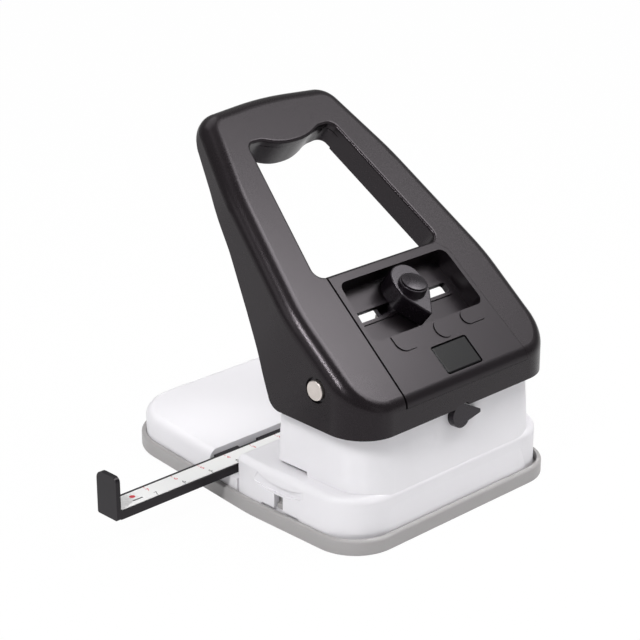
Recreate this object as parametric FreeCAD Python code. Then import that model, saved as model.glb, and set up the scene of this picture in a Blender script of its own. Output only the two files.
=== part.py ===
"""Hand lever punch for cards and badges: three punches, a selector on the handle and a pull-out ruler.

Frame: millimetres, +Z up, +X to the right, +Y to the rear where the card goes in.
The origin is the middle of the base cover's underside, which is the plane that the punch stands on.
"""

import math
import os

import FreeCAD, Part

Vector = FreeCAD.Vector

# Base cover and body, in plan
base_width = 86.0
base_length = 108.0
base_rear_width = 72.2        # where the tapered sides would meet the rear edge
taper_start = 43.0            # behind the front edge
front_radius = 13.5
rear_radius = 19.5
taper_radius = 40.0
table_set_back = 0.6          # table's front, behind the tower's foot
table_edge = 2.0              # rounding of the table's upper edge
table_rear_radius = 1.6
deck_edge = 2.6
end_wall_thickness = 1.05     # closes the ruler's channel on the right
end_wall_reach = 8.0          # it runs on this far under the deck
rim_height = 4.6
rim_width = 1.3
cover_floor = 1.6
cover_gap = 0.15              # body foot to the cover's rim
wall = 2.0                    # body shell

# Body heights
channel_floor = 8.1
deck_top = 12.0
table_top = 16.1              # the card lies on the table
tower_top = 38.4
throat_gap = 1.3              # card slot

# Body, distances behind the base's front edge
tower_foot_front = 1.4
tower_head_front = 3.6
table_rear = 49.5
card_stop_line = 25.0
punch_line = 31.0             # centres of the holes
spring_room = 1.3             # round punch to the tower's rear wall
scoop_line = 31.6             # middle of the scoop in the left side
boss_x = 16.0                 # screw bosses on the front wall
side_ledge = 7.0              # base's side to the tower's wall, at the tower's top
tower_draft = 1.4             # tower is this much wider at its foot, each side
tower_radius = 11.0

# Pivot of the handle
pivot_back = 18.1             # behind the base's front edge
pivot_height = 45.0
pin_radius = 2.5
pin_head_radius = 2.85
pin_head_length = 1.4
pin_head_proud = 0.6          # head beyond the skirt
bush_radius = 3.7
bush_sunk = 0.9               # bush behind the skirt's face
running_gap = 0.04            # radial, of turning and sliding fits
part_gap = 0.3                # between parts that pass each other

# Handle
handle_tilt = 39.0            # slope of its face, degrees
face_back = 1.0               # where the sloping face reaches face_height
face_height = 42.35
handle_length = 103.9         # up the slope
handle_front = 0.6            # front skirt, behind the base's front edge
skirt_gap = 1.8               # tower wall to the inside of the skirt
skirt_wall = 2.4
front_wall = 1.4
face_wall = 2.2
handle_radius = 12.0          # front corners
waist_start = 34.0            # its sides begin to draw in here, up the slope
waist_end = 75.0
waist_half = 32.8
tip_half = 25.0               # at the grip's end
tip_radius = 8.0
handle_edge = 4.5             # rounding of the edge round the face
skirt_bottom = 34.2           # at the rear of its level stretch
skirt_drop = 0.8              # its lower edge falls by this much to the front
skirt_level_end = 35.6        # behind the base's front edge
grip_wall_depth = 8.0         # wall round the grip opening
grip_lip = 2.4                # thickness of the shell over the grip bar
grip_lip_gap = 0.5
grip_depth = 10.8             # grip bar's underside at its middle
grip_depth_end = 7.2          # and at its ends

# Grip opening, on the face
opening_start = 41.6
opening_end = 88.1
opening_low_half = 24.6
opening_high_half = 16.6
opening_bulge = 2.8           # the grip's edge stands this far into the opening
opening_edge = 0.9            # rounding of the opening's edge

# Centre panel and its window
panel_left = -23.9
panel_right = 27.2
panel_taper = 2.2             # the panel narrows by this much up the slope, each side
panel_front = 39.7            # height of its lower edge on the front skirt
panel_gap = 0.65              # at its left side
panel_fine_gap = 0.08         # at its other sides
window_start = 18.4
window_end = 38.4
window_left = -20.7
window_right = 24.2
window_depth = 6.0
window_floor = 1.5
window_wall = 1.2
window_radius = 2.6
ledge_span = (4.5, 15.5)      # of the ledges under the panel, up the slope
badge_recess = (-4.4, 10.0, 2.0, 11.4)
mark_height = 0.35            # raised signs in front of the window
mark_sunk = 0.5

# Selector
selector_middle = 2.7         # x of the middle position
selector_pitch = 14.0
selector_up = 28.9            # slot, up the slope
slot_width = 3.2
slot_end_gap = 0.5
slot_left_room = 2.4          # more slot at the left end
stem_length = 8.0
head_half = 5.3               # half width of the drop-shaped head
head_back = 8.6               # slot to the head's round end
head_tip = 9.1                # slot to the head's tip
head_offset = 0.3
head_floor_gap = 0.8          # head's underside above the window's floor
head_height = 1.2             # above the face
collar_height = 1.5           # at the button's middle
collar_wall = 0.55
button_radius = 3.65
button_up = 1.3               # button's middle is this far up the slope from the slot
button_tilt = 16.0            # button leans this much towards upright
button_rise = 0.9             # above its collar, at the middle of its domed top
button_dome = 15.0            # radius of that dome
button_under = -3.2           # from the collar's rim, down its axis
spring_seat = -6.8
button_stroke = 0.8
foot_radius = 2.5
foot_gap = 0.25

# Punches
round_punch_radius = 3.0
slot_punch_length = 14.0
slot_punch_width = 3.0
corner_punch_side = 7.0
corner_cut_radius = 6.0
punch_clearance = 0.05
punch_tip_lift = 0.9          # tip above the throat's roof, inside the guide
punch_head_height = 3.5
spring_wire = 0.35            # radius
small_spring_radius = 1.7
small_spring_wire = 0.3       # radius

# Frame plates
plate = 2.0                   # cheeks
die_thickness = 2.6
guide_height = 7.6
ear_radius = 4.2
frame_screw_radius = 1.5
small_screw_radius = 1.2

# Ruler
ruler_middle = 56.7           # behind the base's front edge
ruler_width = 8.4
ruler_top = 10.75
ruler_thickness = 2.5
ruler_stop_face = -80.4       # x of the stop's inner face, with the ruler drawn out
ruler_stop_thickness = 1.5
ruler_stop_top = 21.0
ruler_inner_end = 4.0
ruler_label_thickness = 0.15
ruler_push_in = 34.0
ruler_pull_out = 10.0
channel_gap = 1.7             # ruler to the deck's edge
guide_gap = 0.3               # ruler to its guide strip
keeper_x = -8.0
stem_width = 3.0

# Lock knob
lock_x = -0.4
lock_height = 30.5
lock_radius = 3.5
lock_pointer = 7.8
lock_thickness = 2.2
lock_shaft_radius = 1.8

# Values that follow from the ones above
half_width = base_width / 2
front = -base_length / 2
rear = base_length / 2
body_inset = rim_width + cover_gap
tower_half = half_width - side_ledge
handle_half = tower_half + skirt_gap + skirt_wall
cheek_outer = tower_half - wall - part_gap
cheek_inner = cheek_outer - plate
pivot_y = front + pivot_back
punch_y = front + punch_line
stop_y = front + card_stop_line
tower_rear_y = punch_y + round_punch_radius + spring_room + wall
table_rear_y = front + table_rear
ruler_y = front + ruler_middle
channel_front = table_rear_y
channel_rear = ruler_y + ruler_width / 2 + channel_gap
die_bottom = table_top - die_thickness
throat_top = table_top + throat_gap
guide_top = throat_top + guide_height
plates_rear = tower_rear_y - wall - part_gap
scoop_y = front + scoop_line
frame_front = front + tower_foot_front + wall + 1.6
stop_front = frame_front + 5.6
cheek_front = stop_front + 3.2
boss_y = frame_front + 2.6
head_face = -head_height
head_under = window_depth - head_floor_gap
wall_lean = math.atan2(tower_head_front - tower_foot_front, tower_top - cover_floor)
wall_inward = Vector(0, math.cos(wall_lean), -math.sin(wall_lean))
wall_up = Vector(0, math.sin(wall_lean), math.cos(wall_lean))
lock_seat = Vector(lock_x, front + tower_foot_front + (lock_height - cover_floor) * math.tan(wall_lean),
                   lock_height)
tilt = math.radians(handle_tilt)
slope = Vector(0, math.cos(tilt), math.sin(tilt))
outward = Vector(0, -math.sin(tilt), math.cos(tilt))
face_origin = Vector(0, front + face_back, face_height)
foot_center_depth = (
    (punch_y + 0.4 - face_origin.y) - selector_up * slope.y
) / -outward.y
foot_center = face_origin + slope * selector_up - outward * foot_center_depth
head_top = foot_center.z - foot_radius - foot_gap
head_bottom = head_top - punch_head_height
tip_z = throat_top + punch_tip_lift
corner_x = -cheek_inner + part_gap + 0.5 + corner_punch_side / 2
corner_y = stop_y + 0.5 + corner_punch_side / 2
slot_x = selector_middle + selector_pitch
corner_press_x = selector_middle - selector_pitch


def flat(z):
    """Ground plan at height z."""
    return lambda x, y: Vector(x, y, z)


def side(x):
    """Side view, (y, z), in the plane at x."""
    return lambda y, z: Vector(x, y, z)


def upright(y):
    """Front view, (x, z), in the plane at y."""
    return lambda x, z: Vector(x, y, z)


def face(depth):
    """Handle's face, (x, distance up the slope), at a depth below it."""
    return lambda x, s: face_origin + Vector(x, 0, 0) + slope * s - outward * depth


def across(s):
    """Section across the slope, (x, depth), at a distance up it."""
    return lambda x, depth: face_origin + Vector(x, 0, 0) + slope * s - outward * depth


def outline(corners, place):
    """Closed wire of straight sides and tangent arcs through (u, v, radius) corners."""
    count = len(corners)
    ends = []
    for i, (u, v, radius) in enumerate(corners):
        here = Vector(u, v, 0)
        before = Vector(*corners[i - 1][:2], 0) - here
        after = Vector(*corners[(i + 1) % count][:2], 0) - here
        before.normalize()
        after.normalize()
        half = before.getAngle(after) / 2
        if radius <= 0:
            ends.append((here, None, here))
            continue
        reach = radius / math.tan(half)
        middle = before + after
        middle.normalize()
        crown = here + middle * (radius / math.sin(half) - radius)
        ends.append((here + before * reach, crown, here + after * reach))
    edges = []
    for i, (start, crown, end) in enumerate(ends):
        if crown is not None:
            points = [place(p.x, p.y) for p in (start, crown, end)]
            edges.append(Part.Arc(*points).toShape())
        following = ends[(i + 1) % count][0]
        if (following - end).Length > 1e-6:
            edges.append(Part.makeLine(place(end.x, end.y), place(following.x, following.y)))
    return Part.Wire(edges)


def prism(corners, place, direction):
    return Part.Face(outline(corners, place)).extrude(direction)


def up(height):
    return Vector(0, 0, height)


def box(x0, x1, y0, y1, z0, z1):
    return Part.makeBox(x1 - x0, y1 - y0, z1 - z0, Vector(x0, y0, z0))


def slab(x0, x1, s0, s1, depth0, depth1, radius=0.0):
    """Block square to the handle's face."""
    corners = [(x0, s0, radius), (x1, s0, radius), (x1, s1, radius), (x0, s1, radius)]
    return prism(corners, face(depth0), outward * (depth0 - depth1))


def tube(outer, inner, length, start, axis):
    return Part.makeCylinder(outer, length, start, axis).cut(
        Part.makeCylinder(inner, length, start, axis)
    )


def rod(radius, x, y, z0, z1):
    return Part.makeCylinder(radius, z1 - z0, Vector(x, y, z0), up(1))


def rounded(shape, radius, wanted):
    """Fillet the edges for which wanted(edge) holds."""
    edges = [edge for edge in shape.Edges if wanted(edge)]
    return shape.makeFillet(radius, edges)


def at_height(z):
    return lambda edge: abs(edge.BoundBox.ZMin - z) < 1e-4 and abs(edge.BoundBox.ZMax - z) < 1e-4


def upright_at(y):
    """True for a standing edge at y."""
    def test(edge):
        bounds = edge.BoundBox
        return abs(bounds.YMin - y) < 1e-4 and abs(bounds.YMax - y) < 1e-4 and bounds.ZLength > bounds.XLength
    return test


def on_plane(point, normal):
    """True for an edge that lies wholly in a plane."""
    def test(edge):
        first, last = edge.ParameterRange
        steps = [first + (last - first) * k / 4 for k in range(5)]
        return all(abs((edge.valueAt(t) - point).dot(normal)) < 1e-4 for t in steps)
    return test


# Base cover and body


def base_corners(inset):
    wide = half_width - inset
    narrow = base_rear_width / 2 - inset
    taper_y = front + taper_start
    return [
        (-wide, front + inset, front_radius - inset),
        (wide, front + inset, front_radius - inset),
        (wide, taper_y, taper_radius - inset),
        (narrow, rear - inset, rear_radius - inset),
        (-narrow, rear - inset, rear_radius - inset),
        (-wide, taper_y, taper_radius - inset),
    ]


def make_base_cover():
    tray = prism(base_corners(0), flat(0), up(rim_height))
    tray = rounded(tray, 0.8, at_height(rim_height))
    tray = rounded(tray, 0.5, at_height(0))
    hollow = prism(base_corners(rim_width), flat(cover_floor), up(rim_height))
    tray = tray.cut(hollow)
    # A springy post snaps its nose into the notch in the body's left wall.
    inside = -half_width + body_inset + wall
    y0, y1 = scoop_y - 1.3, scoop_y + 1.2
    post = box(inside + 0.3, inside + 1.7, y0 - 2, y1 + 2, cover_floor - 0.5, rim_height + 4.0)
    nose = box(inside - wall + 0.8, inside + 0.5, y0, y1, rim_height + 0.5, rim_height + 2.0)
    return tray.fuse([post, nose])


def table_block(inset, bottom, top):
    """Block inside the base's outline, from the tower's foot to the table's rear edge."""
    out = body_inset + inset
    wide = half_width - out
    start, end = front + tower_foot_front + table_set_back + inset, table_rear_y - inset
    corner = front_radius - inset
    corners = [(-wide, start, corner), (wide, start, corner), (wide, end, 0), (-wide, end, 0)]
    block = prism(corners, flat(bottom), up(top - bottom))
    return block.common(prism(base_corners(out), flat(bottom), up(top - bottom)))


def tower_corners(inset, level):
    """Tower outline at a share of its height, 0 at the foot and 1 at the top."""
    wide = tower_half + tower_draft * (1 - level) - inset
    start = front + tower_foot_front + (tower_head_front - tower_foot_front) * level + inset
    end = tower_rear_y + tower_draft * (1 - level) - inset
    return [(-wide, start, tower_radius - inset), (wide, start, tower_radius - inset),
            (wide, end, 3.0 - inset), (-wide, end, 3.0 - inset)]


def tower(inset, lid):
    foot = outline(tower_corners(inset, 0), flat(cover_floor))
    level = (tower_top - lid - cover_floor) / (tower_top - cover_floor)
    head = outline(tower_corners(inset, level), flat(tower_top - lid))
    return Part.makeLoft([foot, head], True, True)


def half_at(y, inset):
    """Half width of the base outline where its sides taper."""
    taper_y = front + taper_start
    wide = half_width - inset
    narrow = base_rear_width / 2 - inset
    return wide - (wide - narrow) * (y - taper_y) / (rear - inset - taper_y)


def channel_end():
    """Where the ruler's channel stops, on the right."""
    return half_at(channel_rear + end_wall_reach, body_inset) - end_wall_thickness


def deck_corners(inset, start):
    """Deck behind the ruler's channel, from start to the rear."""
    out = body_inset + inset
    side_half = half_at(start, out)
    rear_half = base_rear_width / 2 - out
    return [(-side_half, start, 0), (side_half, start, 0),
            (rear_half, rear - out, rear_radius - out), (-rear_half, rear - out, rear_radius - out)]


def channel_end_wall():
    """Closes the ruler's channel on the right."""
    x, end = channel_end(), channel_rear + end_wall_reach
    corners = [(x, channel_front - 1, 0), (half_at(channel_front, body_inset), channel_front - 1, 0),
               (half_at(end, body_inset), end, 0), (x, end, 0)]
    return prism(corners, flat(cover_floor), up(deck_top - deck_edge - cover_floor + 1.2))


def make_body_shell():
    deck = prism(deck_corners(0, channel_rear - 2 * deck_edge), flat(cover_floor), up(deck_top - cover_floor))
    deck = rounded(deck, deck_edge, at_height(deck_top))
    deck = deck.common(box(-half_width, half_width, channel_rear, rear, 0, tower_top))
    deck = deck.fuse(channel_end_wall())
    floor = prism(base_corners(body_inset), flat(cover_floor), up(channel_floor - cover_floor))
    floor = floor.common(box(-half_width, half_width, channel_front, rear, 0, tower_top))
    table = table_block(0, cover_floor, table_top)
    table = rounded(table, table_rear_radius, upright_at(table_rear_y))
    table = rounded(table, table_edge, at_height(table_top))
    body = deck.fuse([floor, table, tower(0, 0)])

    deck_room = prism(deck_corners(wall, channel_rear + wall), flat(0), up(deck_top - wall))
    floor_room = prism(base_corners(body_inset + wall), flat(0), up(channel_floor - wall))
    floor_room = floor_room.common(box(-half_width, half_width, channel_front + wall, rear, 0, tower_top))
    table_room = table_block(wall, 0, table_top - wall)
    body = body.cut(deck_room.fuse([floor_room, table_room, tower(wall, wall)]))

    # Two bosses on the inside of the front wall take the screws that hold the frame.
    for x in (-boss_x, boss_x):
        boss = rod(2.6, x, boss_y, table_top, guide_top)
        rib = box(x - 1.2, x + 1.2, front + tower_foot_front, boss_y, table_top, guide_top)
        body = body.fuse(boss.fuse(rib).common(tower(0.2, 0.2)))
        body = body.cut(rod(small_screw_radius, x, boss_y, table_top - 1, guide_top - 1))

    # Throat: the card enters from the rear and may stick out at both sides.
    throat = box(-half_width, half_width, stop_y, table_rear_y + 5, table_top, throat_top)
    body = body.cut(throat)
    body = body.cut(top_openings())
    body = body.cut(scoop())
    keeper_slot = box(keeper_x - ruler_pull_out - stem_width / 2 - slot_end_gap,
                      keeper_x + ruler_push_in + stem_width / 2 + slot_end_gap,
                      ruler_y - stem_width / 2 - 0.2, ruler_y + stem_width / 2 + 0.2,
                      channel_floor - wall - 1, channel_floor + 1)
    body = body.cut(keeper_slot)
    return body.cut(wall_rod(lock_shaft_radius + running_gap, -4, wall + 4)).removeSplitter()


def top_openings():
    """Openings in the tower's lid for the punches with their springs, and for the cheeks."""
    punches = box(corner_x - corner_punch_side / 2 - 0.8, slot_x + slot_punch_length / 2 + 0.8,
                  punch_y - 9.0, plates_rear, tower_top - wall - 1, tower_top + 1)
    cut = [punches]
    for x0, x1 in ((-cheek_outer, -cheek_inner), (cheek_inner, cheek_outer)):
        cut.append(box(x0 - part_gap, x1 + part_gap, pivot_y - ear_radius - part_gap,
                       pivot_y + ear_radius + part_gap, tower_top - wall - 1, tower_top + 1))
    return cut[0].fuse(cut[1:])


def scoop():
    """Crescent scoop in the left side under the table, fading at both ends, with a latch notch."""
    left = -half_width + body_inset
    y = scoop_y
    place = side(left - 5)
    deep = 1.1
    reach = 10.0
    ledge = [place(y + reach, 11.0), place(y, 9.6), place(y - reach, 11.4)]
    roof = [place(y - reach, 13.9), place(y + 1.0, 12.2), place(y + reach - 1.5, 13.9)]
    edges = [Part.Arc(*ledge).toShape(), Part.makeLine(ledge[2], roof[0]),
             Part.Arc(*roof).toShape(), Part.makeLine(roof[2], ledge[0])]
    crescent = Part.Face(Part.Wire(edges)).extrude(Vector(10, 0, 0))
    radius = reach * reach / (2 * deep)
    bowl = rod(radius, left + deep - radius, y, rim_height, table_top)
    notch = box(left - 5, left + wall + 2, y - 1.8, y + 1.7, rim_height + 0.3, 9.4)
    lip = box(left - 5, left + 0.9, y - 8.0, y + 7.0, rim_height - 2, rim_height + 0.45)
    return crescent.common(bowl).fuse([notch, lip])


# Steel frame inside the tower


def punch_holes(z0, z1):
    """Holes for the three punches, from z0 to z1."""
    clear = punch_clearance
    return round_blade(z0, z1, clear).fuse([slot_blade(z0, z1, clear), corner_blade(z0, z1, clear)])


def round_blade(z0, z1, grow=0.0):
    return rod(round_punch_radius + grow, selector_middle, punch_y, z0, z1)


def slot_blade(z0, z1, grow=0.0):
    half = slot_punch_length / 2 + grow
    end = slot_punch_width / 2 + grow
    corners = [(slot_x - half, punch_y - end, end * 0.999), (slot_x + half, punch_y - end, end * 0.999),
               (slot_x + half, punch_y + end, end * 0.999), (slot_x - half, punch_y + end, end * 0.999)]
    return prism(corners, flat(z0), up(z1 - z0))


def corner_blade(z0, z1, grow=0.0):
    half = corner_punch_side / 2 + grow
    block = box(corner_x - half, corner_x + half, corner_y - half, corner_y + half, z0, z1)
    round_off = rod(corner_cut_radius - grow, corner_x + half, corner_y + half, z0, z1)
    return block.cut(round_off)


def frame_screw_places():
    y = stop_front + 5.0
    return [(-22.0, y), (-8.0, y), (8.0, y), (22.0, y)]


def make_die_plate():
    tongue = boss_x + 6.0
    corners = [(-tongue, frame_front, 3.0), (tongue, frame_front, 3.0), (tongue, stop_front, 0),
               (cheek_inner, stop_front, 0), (cheek_inner, plates_rear, 0), (-cheek_inner, plates_rear, 0),
               (-cheek_inner, stop_front, 0), (-tongue, stop_front, 0)]
    die = prism(corners, flat(die_bottom), up(die_thickness))
    die = die.cut(punch_holes(die_bottom - 1, table_top + 1))
    for x, y in frame_screw_places():
        die = die.cut(rod(frame_screw_radius + 0.1, x, y, die_bottom - 1, table_top + 1))
    for x in (-boss_x, boss_x):
        die = die.cut(rod(small_screw_radius + 0.1, x, boss_y, die_bottom - 1, table_top + 1))
    return die


def make_card_stop():
    bar = box(-cheek_inner, cheek_inner, stop_front, stop_y, table_top, throat_top)
    for x, y in frame_screw_places():
        bar = bar.cut(rod(frame_screw_radius + 0.1, x, y, table_top - 1, throat_top + 1))
    return bar


def make_punch_guide():
    guide = box(-cheek_inner, cheek_inner, stop_front, plates_rear, throat_top, guide_top)
    guide = guide.cut(punch_holes(throat_top - 1, guide_top + 1))
    for x, y in frame_screw_places():
        guide = guide.cut(rod(frame_screw_radius, x, y, throat_top - 1, guide_top - 2))
    for x in (-1, 1):
        for y, z in cheek_screw_places():
            guide = guide.cut(x_rod(small_screw_radius, x, cheek_inner - 6, cheek_inner + 1, y, z))
    return guide


def x_rod(radius, sign, x0, x1, y, z):
    """Cylinder along X from x0 to x1, on the left when sign is -1."""
    return Part.makeCylinder(radius, x1 - x0, Vector(sign * x0, y, z), Vector(sign, 0, 0))


def cheek_screw_places():
    z = throat_top + guide_height / 2
    return [(cheek_front + 2.6, z), (stop_y - 3.0, z)]


def make_cheek(sign):
    """Steel side plate: it carries the pivot above and holds the guide and the die plate."""
    low = die_bottom
    shoulder = tower_top - wall - part_gap
    corners = [
        (cheek_front, low, 0), (plates_rear, low, 0), (plates_rear, shoulder, 3.0),
        (pivot_y + ear_radius, shoulder, 0), (pivot_y + ear_radius, pivot_height, 0),
        (pivot_y - ear_radius, pivot_height, 0), (pivot_y - ear_radius, shoulder, 0),
        (cheek_front, shoulder, 0),
    ]
    cheek = prism(corners, side(sign * cheek_inner), Vector(sign * plate, 0, 0))
    ear = x_rod(ear_radius, sign, cheek_inner, cheek_outer, pivot_y, pivot_height)
    cheek = cheek.fuse(ear).removeSplitter()
    cheek = cheek.cut(x_rod(pin_radius, sign, cheek_inner - 1, cheek_outer + 1, pivot_y, pivot_height))
    x0, x1 = sorted((sign * (cheek_inner - 1), sign * (cheek_outer + 1)))
    cheek = cheek.cut(box(x0, x1, stop_y, plates_rear + 5, table_top, throat_top))
    for y, z in cheek_screw_places():
        cheek = cheek.cut(x_rod(small_screw_radius + 0.1, sign, cheek_inner - 1, cheek_outer + 1, y, z))
        cheek = cheek.cut(x_rod(2.2, sign, cheek_outer - 1.0, cheek_outer + 1, y, z))
    return cheek


def make_frame_screws():
    screws = []
    for x, y in frame_screw_places():
        shank = rod(frame_screw_radius, x, y, die_bottom, guide_top - 2)
        screws.append(shank.fuse(rod(2.8, x, y, die_bottom - 1.6, die_bottom)))
    return Part.makeCompound(screws)


def make_cheek_screws():
    screws = []
    for sign in (-1, 1):
        for y, z in cheek_screw_places():
            shank = x_rod(small_screw_radius, sign, cheek_inner - 6, cheek_outer - 0.9, y, z)
            screws.append(shank.fuse(x_rod(2.1, sign, cheek_outer - 1.0, cheek_outer - 0.1, y, z)))
    return Part.makeCompound(screws)


def make_body_screws():
    screws = []
    for x in (-boss_x, boss_x):
        shank = rod(small_screw_radius, x, boss_y, die_bottom, guide_top - 1.5)
        screws.append(shank.fuse(rod(2.3, x, boss_y, die_bottom - 1.5, die_bottom)))
    return Part.makeCompound(screws)


# Pivot


def make_pivot_pins():
    pins = []
    for sign in (-1, 1):
        head_start = handle_half - pin_head_length + pin_head_proud
        shank = x_rod(pin_radius, sign, cheek_inner - 1.8, head_start, pivot_y, pivot_height)
        head = x_rod(pin_head_radius, sign, head_start, head_start + pin_head_length, pivot_y, pivot_height)
        pin = rounded(shank.fuse(head), 0.35, on_plane(
            Vector(sign * (head_start + pin_head_length), 0, 0), Vector(1, 0, 0)))
        groove = x_rod(pin_radius + 1, sign, cheek_inner - 1.0, cheek_inner - 0.2, pivot_y, pivot_height)
        core = x_rod(pin_radius - 0.5, sign, cheek_inner - 1.0, cheek_inner - 0.2, pivot_y, pivot_height)
        pins.append(pin.cut(groove.cut(core)))
    return Part.makeCompound(pins)


def make_pivot_clips():
    clips = []
    for sign in (-1, 1):
        start = Vector(sign * (cheek_inner - 0.95), pivot_y, pivot_height)
        ring = tube(4.2, pin_radius - 0.5 + 0.02, 0.7, start, Vector(sign, 0, 0))
        mouth = box(-half_width, half_width, pivot_y - 1.2, pivot_y + 1.2,
                    pivot_height - 6, pivot_height - 1)
        clips.append(ring.cut(mouth))
    return Part.makeCompound(clips)


def make_pivot_spacers():
    spacers = []
    for sign in (-1, 1):
        length = handle_half - skirt_wall - cheek_outer - 0.2
        start = Vector(sign * cheek_outer, pivot_y, pivot_height)
        spacers.append(tube(4.4, pin_radius + 0.02, length, start, Vector(sign, 0, 0)))
    return Part.makeCompound(spacers)


def make_pivot_bushes():
    """Black rings in the skirts that turn on the pins."""
    bushes = []
    for sign in (-1, 1):
        inner_face = handle_half - skirt_wall
        head_start = handle_half - pin_head_length + pin_head_proud
        ring = x_rod(bush_radius, sign, inner_face, min(handle_half - bush_sunk, head_start - 0.1),
                     pivot_y, pivot_height)
        ring = ring.cut(x_rod(pin_radius + running_gap, sign, inner_face - 1, handle_half + 1,
                              pivot_y, pivot_height))
        bushes.append(ring)
    return Part.makeCompound(bushes)


# Handle


def handle_block(inset, top_inset, front_inset, edge):
    """Handle without its cavity or lower cut, shrunk for the cavity by the insets."""
    wide = handle_half - inset
    end = handle_length - inset
    waist = waist_half - inset
    tip = tip_half - inset
    plan = [
        (-wide, -30, 0), (wide, -30, 0), (wide, waist_start, 60), (waist, waist_end, 90),
        (tip, end - 2.2, tip_radius - inset), (0, end, 110),
        (-tip, end - 2.2, tip_radius - inset), (-waist, waist_end, 90), (-wide, waist_start, 60),
    ]
    block = prism(plan, face(top_inset), -outward * 75)
    start = front + handle_front + front_inset
    corner = handle_radius - inset
    ground = [(-wide, start, corner), (wide, start, corner), (wide, start + 160, 0), (-wide, start + 160, 0)]
    block = block.common(prism(ground, flat(-60), up(240)))
    return rounded(block, edge, on_plane(face_origin - outward * top_inset, outward))


def skirt_profile():
    """Side view of the handle above its lower edge; the edge follows the arm up the slope."""
    def at(s, depth):
        p = face_origin + slope * s - outward * depth
        return p.y, p.z
    lower = [(100.2, 5.4, 3.0), (95.0, 7.6, 4.0), (81.5, 8.9, 30.0), (63.4, 11.9, 30.0),
             (46.5, 16.5, 30.0), (35.5, 19.8, 30.0)]
    ahead = 20.0
    drop = skirt_drop * (skirt_level_end + ahead) / skirt_level_end
    corners = [(front - ahead, skirt_bottom - drop, 0), (front + skirt_level_end, skirt_bottom, 4.5)]
    corners += [(*at(s, depth), radius) for s, depth, radius in reversed(lower)]
    corners += [(*at(handle_length + 10, 5.2), 0), (*at(handle_length + 10, -10), 0), (*at(-30, -10), 0)]
    return prism(corners, side(-handle_half - 10), Vector(2 * handle_half + 20, 0, 0))


def opening_corners(grow):
    low = opening_low_half + grow
    high = opening_high_half + grow
    end = opening_end + grow
    bulge = end - opening_bulge
    half = [(high, end, 2.6 + grow), (0.68 * opening_high_half, end, 6.0 + grow),
            (0.3 * opening_high_half, bulge, 20.0 - grow)]
    mirrored = [(-x, s, radius) for x, s, radius in reversed(half)]
    start = opening_start - grow
    return [(-low, start, 3.0 + grow), (low, start, 3.0 + grow), *half, *mirrored]


def panel_corners(left_gap, gap):
    left, right = panel_left + left_gap, panel_right - gap
    end = opening_start - gap
    corner = opening_low_half - 3.0
    return [(left, -14, 0), (right, -14, 0), (right - panel_taper, end - 4.0, 0),
            (corner, end, 0), (left + panel_taper, end, 0)]


def handle_body():
    """Hollow handle before the panel is parted from it."""
    outer = handle_block(0, 0, 0, handle_edge).common(skirt_profile())
    inner = handle_block(skirt_wall, face_wall, front_wall, handle_edge - 2.0)
    hollow = outer.cut(inner)
    ring = prism(opening_corners(2.0), face(0.8), -outward * (grip_wall_depth - 0.8))
    grip_room = slab(-handle_half, handle_half, opening_end - 4.0, handle_length, grip_lip, 40)
    hollow = hollow.fuse(ring.cut(grip_room).common(outer))
    hollow = hollow.cut(prism(opening_corners(0), face(-5), -outward * 60)).removeSplitter()
    in_face = on_plane(face_origin, outward)

    def opening_rim(edge):
        box_middle = edge.BoundBox.Center
        s = (box_middle - face_origin).dot(slope)
        inside = abs(box_middle.x) < opening_low_half + 0.5 and opening_start - 1 < s < opening_end + 1
        return inside and in_face(edge)

    return rounded(hollow, opening_edge, opening_rim)


def panel_zone(left_gap, gap):
    zone = prism(panel_corners(left_gap, gap), face(-6), -outward * (6 + face_wall + 2.6 - gap))
    below = box(-handle_half, handle_half, front - 10, front + 12, 0, panel_front + gap)
    return zone.cut(below)


def make_handle_shell(body):
    shell = body.cut(panel_zone(0, 0))
    # Ledges under the panel's edges carry it and take its screws.
    for x, inward in ((panel_left, 1), (panel_right, -1)):
        under = slab(*sorted((x - inward, x + inward * 5.5)), *ledge_span, face_wall + 0.02, face_wall + 2.0)
        root = slab(*sorted((x - 1.5 * inward, x - 0.3 * inward)), *ledge_span,
                    face_wall - 0.5, face_wall + 2.0)
        shell = shell.fuse([under, root])
    for x, s in panel_screw_places():
        shell = shell.cut(face_rod(1.1, x, s, face_wall - 0.5, face_wall + 3))
    for sign in (-1, 1):
        shell = shell.cut(x_rod(bush_radius, sign, handle_half - skirt_wall - 2, handle_half + 2,
                                pivot_y, pivot_height))
    # Notch in the front skirt over the lock's round knob.
    half, top = lock_radius - 0.8, lock_seat.z + lock_radius + part_gap
    notch = [(lock_x - half, skirt_bottom - 5, 0), (lock_x + half, skirt_bottom - 5, 0),
             (lock_x + half, top, 1.2), (lock_x - half, top, 1.2)]
    shell = shell.cut(prism(notch, upright(front - 1), Vector(0, 5, 0)))
    return shell.removeSplitter()


def panel_screw_places():
    return [(panel_left + 3.2, 10.0), (panel_right - 3.2, 10.0)]


def make_panel_screws():
    screws = []
    for x, s in panel_screw_places():
        shank = face_rod(1.0, x, s, 0.9, face_wall + 2.0)
        screws.append(shank.fuse(face_rod(1.9, x, s, face_wall + 2.0, face_wall + 3.1)))
    return Part.makeCompound(screws)


def rail_screw_places():
    s = selector_up + 8.6
    return [(window_left + 4.0, s), (window_right - 4.0, s)]


def make_rail_screws():
    floor = window_depth + window_floor
    screws = []
    for x, s in rail_screw_places():
        shank = face_rod(0.9, x, s, window_depth + 0.5, floor + 1.0)
        screws.append(shank.fuse(face_rod(1.5, x, s, floor + 1.0, floor + 1.9)))
    return Part.makeCompound(screws)


def window_corners(grow):
    return [(window_left - grow, window_start - grow, window_radius + grow),
            (window_right + grow, window_start - grow, window_radius + grow),
            (window_right - 0.6 + grow, window_end + grow, window_radius + grow),
            (window_left + 1.8 - grow, window_end + grow, window_radius + grow)]


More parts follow.
